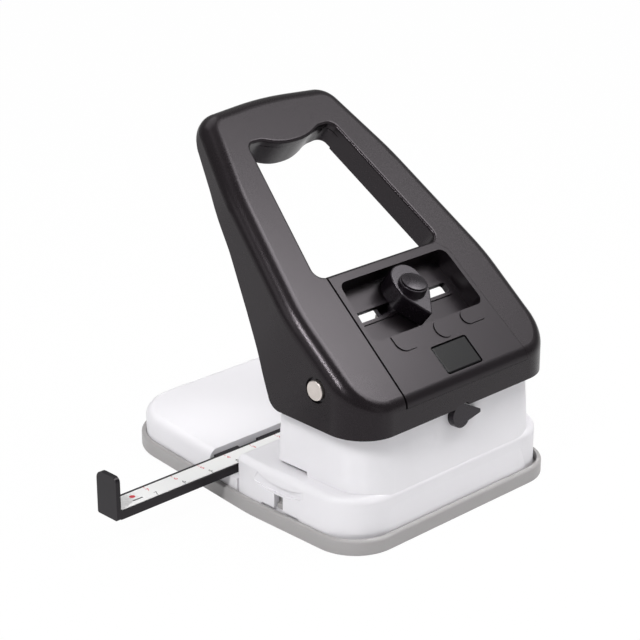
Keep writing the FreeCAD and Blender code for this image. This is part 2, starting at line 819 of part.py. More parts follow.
def selector_slot(width, spare, depth0, depth1):
    half = selector_pitch + stem_length / 2 + spare
    return slab(selector_middle - half - slot_left_room, selector_middle + half, selector_up - width / 2,
                selector_up + width / 2, depth0, depth1, 0.8)


def make_handle_panel(body):
    panel = body.common(panel_zone(panel_gap, panel_fine_gap))
    panel = max(panel.Solids, key=lambda solid: solid.Volume)
    bottom = window_depth + window_floor
    panel = panel.fuse(prism(window_corners(window_wall), face(0.5), -outward * (bottom - 0.5)))
    panel = panel.cut(prism(window_corners(0), face(-5), -outward * (5 + window_depth)))
    lip = selector_slot(slot_width + 2.0, slot_end_gap + 1.0, window_depth - 0.5, window_depth + 0.2)
    panel = panel.fuse(lip)
    panel = panel.cut(selector_slot(slot_width, slot_end_gap, window_depth - 2, bottom + 1))
    x0, x1, s0, s1 = badge_recess
    panel = panel.cut(slab(x0, x1, s0, s1, -1, 1.0, 0.8))
    panel = panel.fuse(position_marks()).removeSplitter()
    for x, s in panel_screw_places():
        panel = panel.cut(face_rod(1.0, x, s, 0.9, face_wall + 1))
    for x, s in rail_screw_places():
        panel = panel.cut(face_rod(0.9, x, s, window_depth + 0.5, bottom + 1))
    return panel


def position_marks():
    """Raised signs in front of the window: a rounded corner, a round hole and a long hole."""
    low, high = window_start - 5.6, window_start - 0.1
    corner_mark = prism([(-14.6, low, 3.2), (-8.0, low, 0.6), (-8.0, high, 0.3), (-14.6, high, 0.3)],
                        face(mark_sunk), outward * (mark_sunk + mark_height))
    round_mark = face_rod(3.0, 4.2, window_start - 3.1, -mark_height, mark_sunk)
    long_mark = prism([(12.6, low + 0.8, 2.3), (22.0, low + 0.8, 2.3), (22.0, high, 2.3), (12.6, high, 2.3)],
                      face(mark_sunk), outward * (mark_sunk + mark_height))
    return [corner_mark, round_mark, long_mark]


def make_badge_plate():
    x0, x1, s0, s1 = badge_recess
    plate_body = slab(x0 + 0.25, x1 - 0.25, s0 + 0.25, s1 - 0.25, 0.0, 1.0, 0.6)
    return rounded(plate_body, 0.5, on_plane(face_origin, outward))


def make_grip_underside(shell):
    """Lower half of the grip bar: it closes the shell's end from below with a bulged underside."""
    start, end = opening_end - 5.0, handle_length - skirt_wall - 0.4
    half = opening_high_half + 2.7
    top = grip_lip + grip_lip_gap
    corners = [across(start)(x, depth) for x, depth in
               ((-half, grip_depth_end), (0, grip_depth), (half, grip_depth_end), (half, top), (-half, top))]
    edges = [Part.Arc(*corners[:3]).toShape()]
    edges += [Part.makeLine(a, b) for a, b in ((corners[2], corners[3]), (corners[3], corners[4]),
                                               (corners[4], corners[0]))]
    bar = Part.Face(Part.Wire(edges)).extrude(slope * (end - start))
    bar = bar.cut(prism(opening_corners(0.3), face(-5), -outward * 60)).cut(shell)
    return max(bar.Solids, key=lambda solid: solid.Volume)


# Parts under the panel and the selector


def make_selector_rail():
    top = window_depth + window_floor
    rail = slab(window_left, window_right, selector_up - 7.6, selector_up + 10.4, top, top + 1.0)
    for x, s in rail_screw_places():
        rail = rail.cut(face_rod(1.0, x, s, top - 1, top + 2))
    return rail.cut(selector_slot(slot_width + 3.0, slot_end_gap + 1.5, top - 1, top + 2))


def head_corners(inset):
    """Drop shape: round at the back and pointed towards the marks."""
    x, s = selector_middle + head_offset, selector_up
    half = head_half - inset
    end = s + head_back - inset
    tip = s - head_tip + 1.8 * inset
    return [(x - half, end, half * 0.95), (x + half, end, half * 0.95), (x + half, s - 1.2, 4.0),
            (x, tip, 0.5), (x - half, s - 1.2, 4.0)]


def make_selector_carrier():
    plate_top = window_depth + window_floor + 1.0 + part_gap
    x = selector_middle
    s = selector_up
    half_stem = stem_length / 2
    thin = slot_width / 2 - 0.2
    stem = slab(x - half_stem, x + half_stem, s - thin, s + thin, head_under, plate_top + 0.5)
    plate_low = slab(x - 6.7, x + 6.7, s - 6.6, s + 6.6, plate_top, plate_top + 1.4, 1.0)
    column_top = plate_top + 1.0
    column = slab(x - half_stem, x + half_stem, s - 3.4, s + 3.0, column_top, foot_center_depth - 1.6)
    return stem.fuse([plate_low, column]).removeSplitter()


def make_press_foot():
    x0 = selector_middle - stem_length / 2
    foot = Part.makeCylinder(foot_radius, stem_length, Vector(x0, foot_center.y, foot_center.z),
                             Vector(1, 0, 0))
    flat_top = slab(x0 - 1, x0 + stem_length + 1, 0, 60, -10, foot_center_depth - 1.6)
    return foot.cut(flat_top)


def face_rod(radius, x, s, depth0, depth1):
    start = face_origin + Vector(x, 0, 0) + slope * s - outward * depth1
    return Part.makeCylinder(radius, depth1 - depth0, start, outward)


def button_place():
    """Middle of the collar's rim, and the direction in which the button stands up."""
    lean = tilt - math.radians(button_tilt)
    axis = Vector(0, -math.sin(lean), math.cos(lean))
    middle = face_origin + Vector(selector_middle, 0, 0) + slope * (selector_up + button_up)
    return middle + outward * (head_height + collar_height), axis


def button_rod(radius, low, high):
    """Cylinder on the button's axis, between two heights from the collar's rim."""
    middle, axis = button_place()
    return Part.makeCylinder(radius, high - low, middle + axis * low, axis)


def make_selector_head():
    head = prism(head_corners(0), face(head_face), outward * (head_face - head_under))
    head = rounded(head, 0.45, on_plane(face_origin - outward * head_face, outward))
    bore = button_rod(button_radius + running_gap, button_under - button_stroke - 0.2, 3)
    return head.cut(bore.fuse(button_rod(2.6, spring_seat, 0)))


def make_button_collar():
    """Ring round the button; its foot follows the head and its rim stands more upright."""
    middle, axis = button_place()
    ring = rounded(button_rod(button_radius + collar_wall, -7, 0), 0.2, on_plane(middle, axis))
    ring = ring.cut(button_rod(button_radius + running_gap, -8, 1))
    return ring.cut(slab(-half_width, half_width, 0, handle_length, head_face, 20))


def make_selector_button():
    middle, axis = button_place()
    cap = button_rod(button_radius, button_under, button_rise + 1)
    dome = Part.makeSphere(button_dome, middle + axis * (button_rise - button_dome))
    cap = cap.common(dome)
    return cap.fuse(button_rod(1.3, button_under - 1.0, button_under))


def coil(radius, wire, turns, height):
    """Compression spring along +Z from the origin."""
    pitch = (height - 2 * wire) / turns
    helix = Part.makeHelix(pitch, height - 2 * wire, radius)
    start = Vector(radius, 0, 0)
    profile = Part.Wire(Part.makeCircle(wire, start, Vector(0, 1, 0)))
    spring = Part.Wire(helix.Edges).makePipeShell([profile], True, True)
    spring.translate(up(wire))
    return spring


def make_button_spring():
    middle, axis = button_place()
    spring = coil(1.9, 0.28, 3, button_under - spring_seat)
    place = FreeCAD.Placement(middle + axis * spring_seat, FreeCAD.Rotation(Vector(0, 0, 1), axis))
    spring.Placement = place.multiply(spring.Placement)
    return spring


# Punches


def head_slab(x0, x1, y0, y1, step_y):
    """Punch head: full height behind step_y, and lower in front of it for the springs."""
    high = box(x0, x1, step_y, y1, head_bottom, head_top)
    low = box(x0, x1, y0, y1, head_bottom, head_top - 2.4)
    return high.fuse(low).removeSplitter()


def make_round_punch():
    return round_blade(tip_z, head_bottom)


def make_round_head():
    return rod(4.6, selector_middle, punch_y, head_bottom, head_top)


def make_slot_punch():
    return slot_blade(tip_z, head_bottom)


def make_slot_head():
    half = slot_punch_length / 2
    return head_slab(slot_x - half, slot_x + half, punch_y - 8.4, punch_y + 4.4, punch_y - 2.2)


def make_corner_punch():
    return corner_blade(tip_z, head_bottom)


def make_corner_head():
    left = corner_x - corner_punch_side / 2
    arm_right = corner_press_x + stem_length / 2
    block = head_slab(left, corner_x + 12.0, corner_y - 4.6, corner_y + 3.6, punch_y - 2.2)
    arm = box(left, arm_right, punch_y - 2.2, punch_y + 4.4, head_bottom, head_top)
    return block.fuse(arm).removeSplitter()


def small_springs(places):
    springs = []
    for x, y in places:
        spring = coil(small_spring_radius, small_spring_wire, 10, head_bottom - guide_top)
        spring.translate(Vector(x, y, guide_top))
        springs.append(spring)
    return Part.makeCompound(springs)


def make_round_spring():
    spring = coil(round_punch_radius + 0.2 + spring_wire, spring_wire, 9, head_bottom - guide_top)
    spring.translate(Vector(selector_middle, punch_y, guide_top))
    return spring


def make_slot_springs():
    y = punch_y - slot_punch_width / 2 - 4.2
    return small_springs([(slot_x - 4.6, y), (slot_x + 4.6, y)])


def make_corner_springs():
    x = corner_x + corner_punch_side / 2 + 4.0
    return small_springs([(x, corner_y - 2.4), (x + 4.2, corner_y - 2.4)])


# Ruler


def make_ruler_bar():
    z0 = ruler_top - ruler_label_thickness - ruler_thickness
    top = ruler_top - ruler_label_thickness
    y0, y1 = ruler_y - ruler_width / 2, ruler_y + ruler_width / 2
    bar = box(ruler_stop_face, ruler_inner_end, y0, y1, z0, top)
    stop_corners = [(y0, z0, 0.5), (y1, z0, 0.5), (y1, ruler_stop_top, 2.4), (y0, ruler_stop_top, 1.6)]
    stop = prism(stop_corners, side(ruler_stop_face), Vector(-ruler_stop_thickness, 0, 0))
    stem = rod(stem_width / 2, keeper_x, ruler_y, channel_floor - wall - 0.3, z0 + 0.5)
    pilot = rod(0.6, keeper_x, ruler_y, channel_floor - wall - 1, z0 + 0.8)
    return bar.fuse([stop, stem]).cut(pilot)


def make_ruler_guide():
    """Strip along the deck that guides the ruler's rear side, with two raised pads."""
    y0, y1 = ruler_y + ruler_width / 2 + guide_gap, channel_rear
    left = -half_at(channel_rear, body_inset) + 1.5
    right = channel_end() - 1
    low = box(left, right, y0, y1, channel_floor, ruler_top - 1.3)
    pads = [box(x0, x1, y0, y1, channel_floor, ruler_top - 0.5)
            for x0, x1 in ((left, left + 9.0), (left + 16.5, right))]
    return low.fuse(pads).removeSplitter()


def make_ruler_label():
    x0, x1 = ruler_stop_face + 0.8, ruler_inner_end - 1.0
    y0, y1 = ruler_y - ruler_width / 2 + 0.6, ruler_y + ruler_width / 2 - 1.1
    return box(x0, x1, y0, y1, ruler_top - ruler_label_thickness, ruler_top)


def make_ruler_keeper():
    top = channel_floor - wall - 0.3
    washer = rod(3.2, keeper_x, ruler_y, top - 1.2, top)
    return washer.cut(rod(0.7, keeper_x, ruler_y, top - 2, top + 1))


def make_ruler_screw():
    top = channel_floor - wall - 0.3
    z0 = ruler_top - ruler_label_thickness - ruler_thickness
    shank = rod(0.6, keeper_x, ruler_y, top - 1.2, z0 + 0.8)
    return shank.fuse(rod(1.6, keeper_x, ruler_y, top - 2.2, top - 1.2))


# Lock


def on_front_wall(depth):
    """Plane along the tower's front wall, (x, up) from the knob's middle, at a depth into it."""
    return lambda x, v: lock_seat + Vector(x, 0, 0) + wall_up * v + wall_inward * depth


def wall_rod(radius, depth0, depth1):
    return Part.makeCylinder(radius, depth1 - depth0, lock_seat + wall_inward * depth0, wall_inward)


def make_lock_knob():
    """Round knob with a pointer, and its shaft through the tower's front wall."""
    disc = wall_rod(lock_radius, -lock_thickness, -0.1)
    tip = lock_pointer
    corners = [(1.0, -2.4, 0), (0.48 * tip, -2.0, 1.5), (tip, -1.2, 0.3), (tip, -0.2, 0.4),
               (0.6 * tip, 1.5, 2.0), (1.0, 2.8, 0)]
    pointer = prism(corners, on_front_wall(-lock_thickness), wall_inward * (lock_thickness - 0.1))
    return disc.fuse([pointer, wall_rod(lock_shaft_radius, -0.2, wall + 2.1)]).removeSplitter()


def make_lock_hook():
    """Arm on the inner end of the knob's shaft."""
    corners = [(-2.8, 2.8, 2.0), (-2.8, -7.0, 1.0), (2.8, -7.0, 1.0), (2.8, 2.8, 2.0)]
    arm = prism(corners, on_front_wall(wall + 0.5), wall_inward * 1.4)
    return arm.cut(wall_rod(lock_shaft_radius, 0, wall + 4))


def make_parts():
    body = handle_body()
    shell = make_handle_shell(body)
    return {
        "base_cover": make_base_cover(),
        "body_shell": make_body_shell(),
        "die_plate": make_die_plate(),
        "card_stop": make_card_stop(),
        "punch_guide": make_punch_guide(),
        "left_cheek": make_cheek(-1),
        "right_cheek": make_cheek(1),
        "frame_screws": make_frame_screws(),
        "cheek_screws": make_cheek_screws(),
        "body_screws": make_body_screws(),
        "pivot_pins": make_pivot_pins(),
        "pivot_clips": make_pivot_clips(),
        "pivot_spacers": make_pivot_spacers(),
        "round_spring": make_round_spring(),
        "slot_springs": make_slot_springs(),
        "corner_springs": make_corner_springs(),
        "handle_shell": shell,
        "handle_panel": make_handle_panel(body),
        "badge_plate": make_badge_plate(),
        "grip_underside": make_grip_underside(shell),
        "panel_screws": make_panel_screws(),
        "rail_screws": make_rail_screws(),
        "pivot_bushes": make_pivot_bushes(),
        "selector_rail": make_selector_rail(),
        "selector_carrier": make_selector_carrier(),
        "press_foot": make_press_foot(),
        "selector_head": make_selector_head(),
        "button_collar": make_button_collar(),
        "selector_button": make_selector_button(),
        "button_spring": make_button_spring(),
        "round_punch": make_round_punch(),
        "round_head": make_round_head(),
        "slot_punch": make_slot_punch(),
        "slot_head": make_slot_head(),
        "corner_punch": make_corner_punch(),
        "corner_head": make_corner_head(),
        "ruler_guide": make_ruler_guide(),
        "ruler_bar": make_ruler_bar(),
        "ruler_label": make_ruler_label(),
        "ruler_keeper": make_ruler_keeper(),
        "ruler_screw": make_ruler_screw(),
        "lock_knob": make_lock_knob(),
        "lock_hook": make_lock_hook(),
    }


os.makedirs("parts", exist_ok=True)
for name, shape in make_parts().items():
    if not shape.isValid() or not shape.Solids:
        print("check", name, shape.isValid(), len(shape.Solids))
    shape.exportStep(f"parts/{name}.step")
    print(f"{name:18s} {len(shape.Solids)} solids {shape.Volume:9.1f} mm3")
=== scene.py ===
import math

import bmesh
import bpy
from mathutils import Matrix, Vector


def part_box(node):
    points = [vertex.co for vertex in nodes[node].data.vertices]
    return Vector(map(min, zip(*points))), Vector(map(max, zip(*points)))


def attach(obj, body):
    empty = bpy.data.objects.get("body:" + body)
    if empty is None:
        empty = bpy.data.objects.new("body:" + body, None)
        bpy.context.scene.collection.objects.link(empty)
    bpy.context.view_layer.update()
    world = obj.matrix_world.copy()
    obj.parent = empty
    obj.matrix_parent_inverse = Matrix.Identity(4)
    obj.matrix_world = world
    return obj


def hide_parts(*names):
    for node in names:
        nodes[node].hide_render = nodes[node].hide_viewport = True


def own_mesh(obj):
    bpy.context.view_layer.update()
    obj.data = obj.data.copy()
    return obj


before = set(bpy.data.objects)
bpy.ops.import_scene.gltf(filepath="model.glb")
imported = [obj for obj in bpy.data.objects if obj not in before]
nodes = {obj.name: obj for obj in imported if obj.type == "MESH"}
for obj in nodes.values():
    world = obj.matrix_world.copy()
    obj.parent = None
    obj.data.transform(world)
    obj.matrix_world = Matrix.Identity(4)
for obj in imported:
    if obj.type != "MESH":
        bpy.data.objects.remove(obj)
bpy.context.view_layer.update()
mm = 0.001
print("frame loaded:", len(nodes), "nodes")


# an output socket; a sum written with it becomes Math nodes
class Tap:
    def __init__(self, bench, socket):
        self.bench = bench
        self.socket = socket

    def math(self, operation, first, second):
        return self.bench.add("ShaderNodeMath", {"operation": operation}, {0: first, 1: second})

    def __add__(self, other):
        return self.math("ADD", self, other)

    def __mul__(self, other):
        return self.math("MULTIPLY", self, other)

    def __sub__(self, other):
        return self.math("SUBTRACT", self, other)

    def __rsub__(self, other):
        return self.math("SUBTRACT", other, self)

    __radd__ = __add__
    __rmul__ = __mul__


# builds one node tree, a material's or the sky's, on the shader it ends in
class Bench:
    def __init__(self, owner, ending="Principled BSDF"):
        owner.use_nodes = True
        self.owner = owner
        self.tree = owner.node_tree
        self.surface = self.tree.nodes[ending]

    def add(self, kind, settings=None, sockets=None, out=0):
        node = self.tree.nodes.new(kind)
        for key, value in (settings or {}).items():
            setattr(node, key, value)
        for key, value in (sockets or {}).items():
            self.feed(node.inputs[key], value)
        return Tap(self, node.outputs[out])

    def feed(self, socket, value):
        if isinstance(value, Tap):
            self.tree.links.new(value.socket, socket)
        elif isinstance(value, tuple) and socket.type == "RGBA":
            socket.default_value = (*value, 1)
        else:
            socket.default_value = value

    def set(self, **sockets):
        for key, value in sockets.items():
            self.feed(self.surface.inputs[socketNames[key]], value)

    def noise(self, size, detail=2.0, rough=0.5, squeeze=None):
        # size is the width of one blotch in metres; squeezed coordinates make brush lines
        place = self.add("ShaderNodeTexCoord", out="Object")
        if squeeze:
            place = self.add("ShaderNodeVectorMath", {"operation": "MULTIPLY"}, {0: place, 1: squeeze})
        return self.add("ShaderNodeTexNoise", None,
                        {"Vector": place, "Scale": 1 / size, "Detail": detail, "Roughness": rough})

    def mix(self, share, first, second):
        # 6, 7 and output 2 are the node's colour sockets
        return self.add("ShaderNodeMix", {"data_type": "RGBA"}, {0: share, 6: first, 7: second}, out=2)

    def bump(self, height, depth):
        return self.add("ShaderNodeBump", None, {"Height": height, "Distance": depth, "Strength": 1.0})


socketNames = {"color": "Base Color", "rough": "Roughness", "metal": "Metallic", "normal": "Normal",
               "coat": "Coat Weight", "coatRough": "Coat Roughness", "gloss": "Specular IOR Level",
               "tint": "Specular Tint", "glow": "Strength"}


def newBench(name):
    return Bench(bpy.data.materials.new(name))


def around(middle, *swings):
    # wanders about its middle; each swing is a tap and how far it carries the value
    start = middle - sum(reach for tap, reach in swings) / 2
    return sum((tap * reach for tap, reach in swings), start)


def shared(first, second, share):
    return first * share + second * (1 - share)


# black mouldings: a slow cloud, a moulded grain and shallow pits, which are pitSize grains wide
blackMould = {"cloud": {"size": 0.018, "detail": 3.0}, "grain": {"detail": 3.0, "rough": 0.6},
              "pit": {"detail": 2.0, "rough": 0.55}, "pitSize": 2.6, "cloudShare": 0.6,
              "grainShare": 0.65, "cloudRough": 0.07, "grainRough": 0.06}
blackPlastic = {
    "handle": {"dark": (0.0042, 0.0030, 0.0036), "pale": (0.0078, 0.0058, 0.0070), "rough": 0.28,
               "grain": 0.00022, "depth": 0.000005, "gloss": 0.30, "tint": (1.0, 0.91, 0.98)},
    "panel": {"dark": (0.0040, 0.0029, 0.0036), "pale": (0.0072, 0.0054, 0.0068), "rough": 0.31,
              "grain": 0.00022, "depth": 0.000004, "gloss": 0.30, "tint": (1.0, 0.91, 0.98)},
    "smooth": {"dark": (0.0040, 0.0029, 0.0040), "pale": (0.0070, 0.0052, 0.0074), "rough": 0.28,
               "grain": 0.00045, "depth": 0.000004, "gloss": 0.40, "tint": (0.98, 0.91, 1.0)},
    "ruler": {"dark": (0.0035, 0.0033, 0.0042), "pale": (0.0060, 0.0056, 0.0070), "rough": 0.36,
              "grain": 0.00040, "depth": 0.000005, "gloss": 0.30, "tint": (1.0, 0.91, 0.98)},
}


def blackFinish(name, look):
    mould = blackMould
    bench = newBench(name)
    cloud = bench.noise(**mould["cloud"])
    grain = bench.noise(look["grain"], **mould["grain"])
    pit = bench.noise(look["grain"] * mould["pitSize"], **mould["pit"])
    bench.set(color=bench.mix(shared(cloud, grain, mould["cloudShare"]), look["dark"], look["pale"]),
              rough=around(look["rough"], (cloud, mould["cloudRough"]), (grain, mould["grainRough"])),
              normal=bench.bump(shared(grain, pit, mould["grainShare"]), look["depth"]),
              gloss=look["gloss"], tint=look["tint"])
    return bench.owner


# pale mouldings and films
paleMould = {"cloud": {"size": 0.030, "detail": 3.0}, "cloudRough": 0.08, "grainRough": 0.05, "gloss": 0.45}
palePlastic = {
    "white": {"clean": (0.79, 0.778, 0.805), "dull": (0.76, 0.748, 0.775), "rough": 0.42,
              "grain": 0.00042, "depth": 0.0000035},
    "foot": {"clean": (0.375, 0.362, 0.362), "dull": (0.345, 0.333, 0.333), "rough": 0.45,
             "grain": 0.00055, "depth": 0.000008},
    "spacer": {"clean": (0.72, 0.71, 0.67), "dull": (0.66, 0.65, 0.61), "rough": 0.35,
               "grain": 0.0005, "depth": 0.000004},
    "label": {"clean": (0.83, 0.83, 0.825), "dull": (0.79, 0.79, 0.785), "rough": 0.3,
              "grain": 0.0006, "depth": 0.000002},
}


def paleFinish(name, look):
    mould = paleMould
    bench = newBench(name)
    cloud = bench.noise(**mould["cloud"])
    grain = bench.noise(look["grain"])
    bench.set(color=bench.mix(cloud, look["clean"], look["dull"]),
              rough=around(look["rough"], (cloud, mould["cloudRough"]), (grain, mould["grainRough"])),
              normal=bench.bump(grain, look["depth"]), gloss=mould["gloss"])
    return bench.owner


# brushed steel; line squeezes the coordinates along x, y and z
steelBlotch = {"size": 0.006, "detail": 3.0}
steelSurface = {"lineShare": 0.6, "lineRough": 0.12, "blotchRough": 0.10}
steel = {
    "sheet": {"bright": (0.63, 0.63, 0.64), "dark": (0.47, 0.47, 0.48), "rough": 0.34,
              "line": (300.0, 6000.0, 6000.0), "depth": 0.000002},
    "tool": {"bright": (0.60, 0.60, 0.62), "dark": (0.44, 0.44, 0.46), "rough": 0.26,
             "line": (7000.0, 7000.0, 350.0), "depth": 0.0000015},
    "wire": {"bright": (0.56, 0.55, 0.54), "dark": (0.38, 0.375, 0.37), "rough": 0.3,
             "line": (5000.0, 5000.0, 800.0), "depth": 0.000001},
    "screw": {"bright": (0.60, 0.595, 0.58), "dark": (0.42, 0.415, 0.40), "rough": 0.32,
              "line": (3000.0, 3000.0, 600.0), "depth": 0.000002},
}


def steelFinish(name, look):
    bench = newBench(name)
    line = bench.noise(1.0, squeeze=look["line"])
    blotch = bench.noise(**steelBlotch)
    bench.set(color=bench.mix(shared(line, blotch, steelSurface["lineShare"]), look["bright"], look["dark"]),
              rough=around(look["rough"], (line, steelSurface["lineRough"]),
                           (blotch, steelSurface["blotchRough"])),
              normal=bench.bump(line, look["depth"]), metal=1.0)
    return bench.owner


# turned ends of the lever's pins
pinFace = {"bright": (0.80, 0.74, 0.70), "dark": (0.62, 0.565, 0.53), "rough": 0.42, "depth": 0.000005,
           "grain": {"size": 0.00035, "detail": 3.0, "rough": 0.65}, "grainShare": 0.45, "grainRough": 0.15,
           "blotch": {"size": 0.0016, "detail": 3.0}}


def pinFinish(name, look):
    bench = newBench(name)
    grain = bench.noise(**look["grain"])
    blotch = bench.noise(**look["blotch"])
    bench.set(color=bench.mix(shared(grain, blotch, look["grainShare"]), look["bright"], look["dark"]),
              rough=around(look["rough"], (grain, look["grainRough"])),
              normal=bench.bump(grain, look["depth"]), metal=1.0)
    return bench.owner


# printed ink
inkMottle = {"size": 0.00025, "detail": 3.0, "rough": 0.6}
inkSurface = {"rough": 0.44, "mottleRough": 0.12}
ink = {"red": {"deep": (0.55, 0.020, 0.035), "thin": (0.68, 0.06, 0.08)},
       "black": {"deep": (0.012, 0.012, 0.014), "thin": (0.03, 0.03, 0.034)}}


def inkFinish(name, look):
    bench = newBench(name)
    mottle = bench.noise(**inkMottle)
    bench.set(color=bench.mix(mottle, look["deep"], look["thin"]),
              rough=around(inkSurface["rough"], (mottle, inkSurface["mottleRough"])))
    return bench.owner


# dark resin of the bare badge, brushed under a thin coat
badgeResin = {"deep": (0.0030, 0.0030, 0.0034), "sheen": (0.0060, 0.0058, 0.0066), "rough": 0.245,
              "line": (350.0, 5000.0, 5000.0), "lineRough": 0.05, "gloss": 0.12, "coat": 0.06,
              "coatRough": 0.06}


def badgeFinish(name, look):
    bench = newBench(name)
    line = bench.noise(1.0, squeeze=look["line"])
    bench.set(color=bench.mix(line, look["deep"], look["sheen"]),
              rough=around(look["rough"], (line, look["lineRough"])), gloss=look["gloss"],
              coat=look["coat"], coatRough=look["coatRough"])
    return bench.owner


finish = {
    "handle": blackFinish("grainedHandlePlastic", blackPlastic["handle"]),
    "panel": blackFinish("grainedPanelPlastic", blackPlastic["panel"]),
    "smooth": blackFinish("smoothBlackPlastic", blackPlastic["smooth"]),
    "ruler": blackFinish("rulerBlackPlastic", blackPlastic["ruler"]),
    "white": paleFinish("whiteBodyPlastic", palePlastic["white"]),
    "foot": paleFinish("greyFootPlastic", palePlastic["foot"]),
    "sheet": steelFinish("platedSheetSteel", steel["sheet"]),
    "tool": steelFinish("groundToolSteel", steel["tool"]),
    "wire": steelFinish("springWireSteel", steel["wire"]),
    "screw": steelFinish("platedScrewSteel", steel["screw"]),
    "pin": pinFinish("turnedPinSteel", pinFace),
    "spacer": paleFinish("naturalSpacerPlastic", palePlastic["spacer"]),
    "label": paleFinish("whiteLabelFilm", palePlastic["label"]),
    "redInk": inkFinish("redScaleInk", ink["red"]),
    "blackInk": inkFinish("blackScaleInk", ink["black"]),
    "badge": badgeFinish("badgeResin", badgeResin),
}

nodeFinish = {
    "white": ["body_shell"],
    "foot": ["base_cover"],
    "sheet": ["die_plate", "card_stop", "punch_guide", "left_cheek", "right_cheek", "lock_hook"],
    "screw": ["frame_screws", "cheek_screws", "body_screws", "panel_screws", "rail_screws",
              "ruler_screw"],
    "pin": ["pivot_pins"],
    "wire": ["pivot_clips", "round_spring", "slot_springs", "corner_springs", "button_spring",
             "ruler_keeper"],
    "spacer": ["pivot_spacers", "press_foot"],
    "handle": ["handle_shell", "grip_underside"],
    "panel": ["handle_panel"],
    "badge": ["badge_plate"],
    # ruler_guide is a black strip in the narrow gap behind the ruler; it stands in for that gap's shade:
    # painted shade
    "smooth": ["pivot_bushes", "ruler_guide", "selector_rail", "selector_carrier", "selector_head",
               "button_collar", "selector_button", "lock_knob"],
    "tool": ["round_punch", "round_head", "slot_punch", "slot_head", "corner_punch", "corner_head"],
    "ruler": ["ruler_bar"],
    "label": ["ruler_label"],
}


def paint(thing, material):
    if not thing.material_slots:
        thing.data.materials.append(material)
    for slot in thing.material_slots:
        slot.material = material


for finishName, names in nodeFinish.items():
    for name in names:
        paint(nodes[name], finish[finishName])
unpainted = sorted(set(nodes) - {name for names in nodeFinish.values() for name in names})
print("finishes on", len(nodes) - len(unpainted), "nodes, without:", unpainted)


# springs, each drawn as a copy of its node's coil on its body
upright = (0.0, 0.0, 1.0)
springs = {
    "round_spring": {"piece": "roundSpringCoil", "body": "base", "joint": "round_punch_slide",
                     "along": upright},
    "slot_springs": {"piece": "slotSpringCoils", "body": "base", "joint": "slot_punch_slide",
                     "along": upright},
    "corner_springs": {"piece": "cornerSpringCoils", "body": "base", "joint": "corner_punch_slide",
                       "along": upright},
    "button_spring": {"piece": "buttonSpringCoil", "body": "selector", "joint": "button_press",
                      "along": (0.0, -0.3907, 0.9205)},
}


def shortenSpring(node, look):
    # a coil of the node's own shape, on the node's body in place of the node
    piece = bpy.data.objects.new(look["piece"], nodes[node].data.copy())
    bpy.context.scene.collection.objects.link(piece)
    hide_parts(node)
    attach(piece, look["body"])
    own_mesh(piece)


for node, look in springs.items():
    shortenSpring(node, look)


# scale printed on the ruler's label; the dot and the dash are measured from the label's middle line
scale = {"first": -66.7 * mm, "step": 10 * mm, "count": 7, "redRow": 1.15 * mm, "blackRow": -2.0 * mm,
         "blackShift": 0.4 * mm, "digit": 2.1 * mm, "thick": 0.02 * mm, "sunk": 0.004 * mm,
         "tickLong": 0.9 * mm, "tickWide": 0.16 * mm, "dot": 0.85 * mm, "dotSides": 32,
         "dotX": -72.6 * mm, "dotUp": 0.9 * mm, "dashX": -72.4 * mm, "dashUp": -1.3 * mm,
         "dashLong": 3.4 * mm, "dashWide": 0.5 * mm}


def textMesh(words, size):
    curve = bpy.data.curves.new("digits", "FONT")
    curve.body = words
    curve.size = size
    curve.align_x = "CENTER"
    curve.align_y = "CENTER"
    curve.extrude = scale["thick"] / 2
    holder = bpy.data.objects.new("digits", curve)
    bpy.context.scene.collection.objects.link(holder)
    bpy.context.view_layer.update()
    mesh = bpy.data.meshes.new_from_object(holder)
    bpy.data.objects.remove(holder)
    return mesh


def addText(bm, words, size, x, y, z):
    mesh = textMesh(words, size)
    mesh.transform(Matrix.Translation((x, y, z)))
    bm.from_mesh(mesh)
    bpy.data.meshes.remove(mesh)


def addBar(bm, x, y, z, wide, long):
    size = Matrix.Diagonal((wide, long, scale["thick"], 1))
    bmesh.ops.create_cube(bm, size=1, matrix=Matrix.Translation((x, y, z)) @ size)


def addDisc(bm, x, y, z, radius):
    bmesh.ops.create_cone(bm, cap_ends=True, segments=scale["dotSides"], radius1=radius, radius2=radius,
                          depth=scale["thick"], matrix=Matrix.Translation((x, y, z)))


def addPiece(name, bm, material, body):
    mesh = bpy.data.meshes.new(name)
    bm.to_mesh(mesh)
    bm.free()
    piece = bpy.data.objects.new(name, mesh)
    bpy.context.scene.collection.objects.link(piece)
    mesh.materials.append(material)
    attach(piece, body)


def printScale(look):
    low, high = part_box("ruler_label")
    middle = (low.y + high.y) / 2
    z = high.z + look["thick"] / 2 - look["sunk"]
    red = bmesh.new()
    black = bmesh.new()
    for place in range(look["count"]):
        x = look["first"] + place * look["step"]
        number = str(look["count"] - place)
        addText(red, number, look["digit"], x, middle + look["redRow"], z)
        addBar(red, x, high.y - look["tickLong"] / 2, z, look["tickWide"], look["tickLong"])
        addText(black, number, look["digit"], x + look["blackShift"], middle + look["blackRow"], z)
        addBar(black, x, low.y + look["tickLong"] / 2, z, look["tickWide"], look["tickLong"])
    addDisc(red, look["dotX"], middle + look["dotUp"], z, look["dot"])
    addBar(black, look["dashX"], middle + look["dashUp"], z, look["dashLong"], look["dashWide"])
    addPiece("rulerPrintRed", red, finish["redInk"], "ruler")
    addPiece("rulerPrintBlack", black, finish["blackInk"], "ruler")


printScale(scale)
print("scale printed on the ruler")


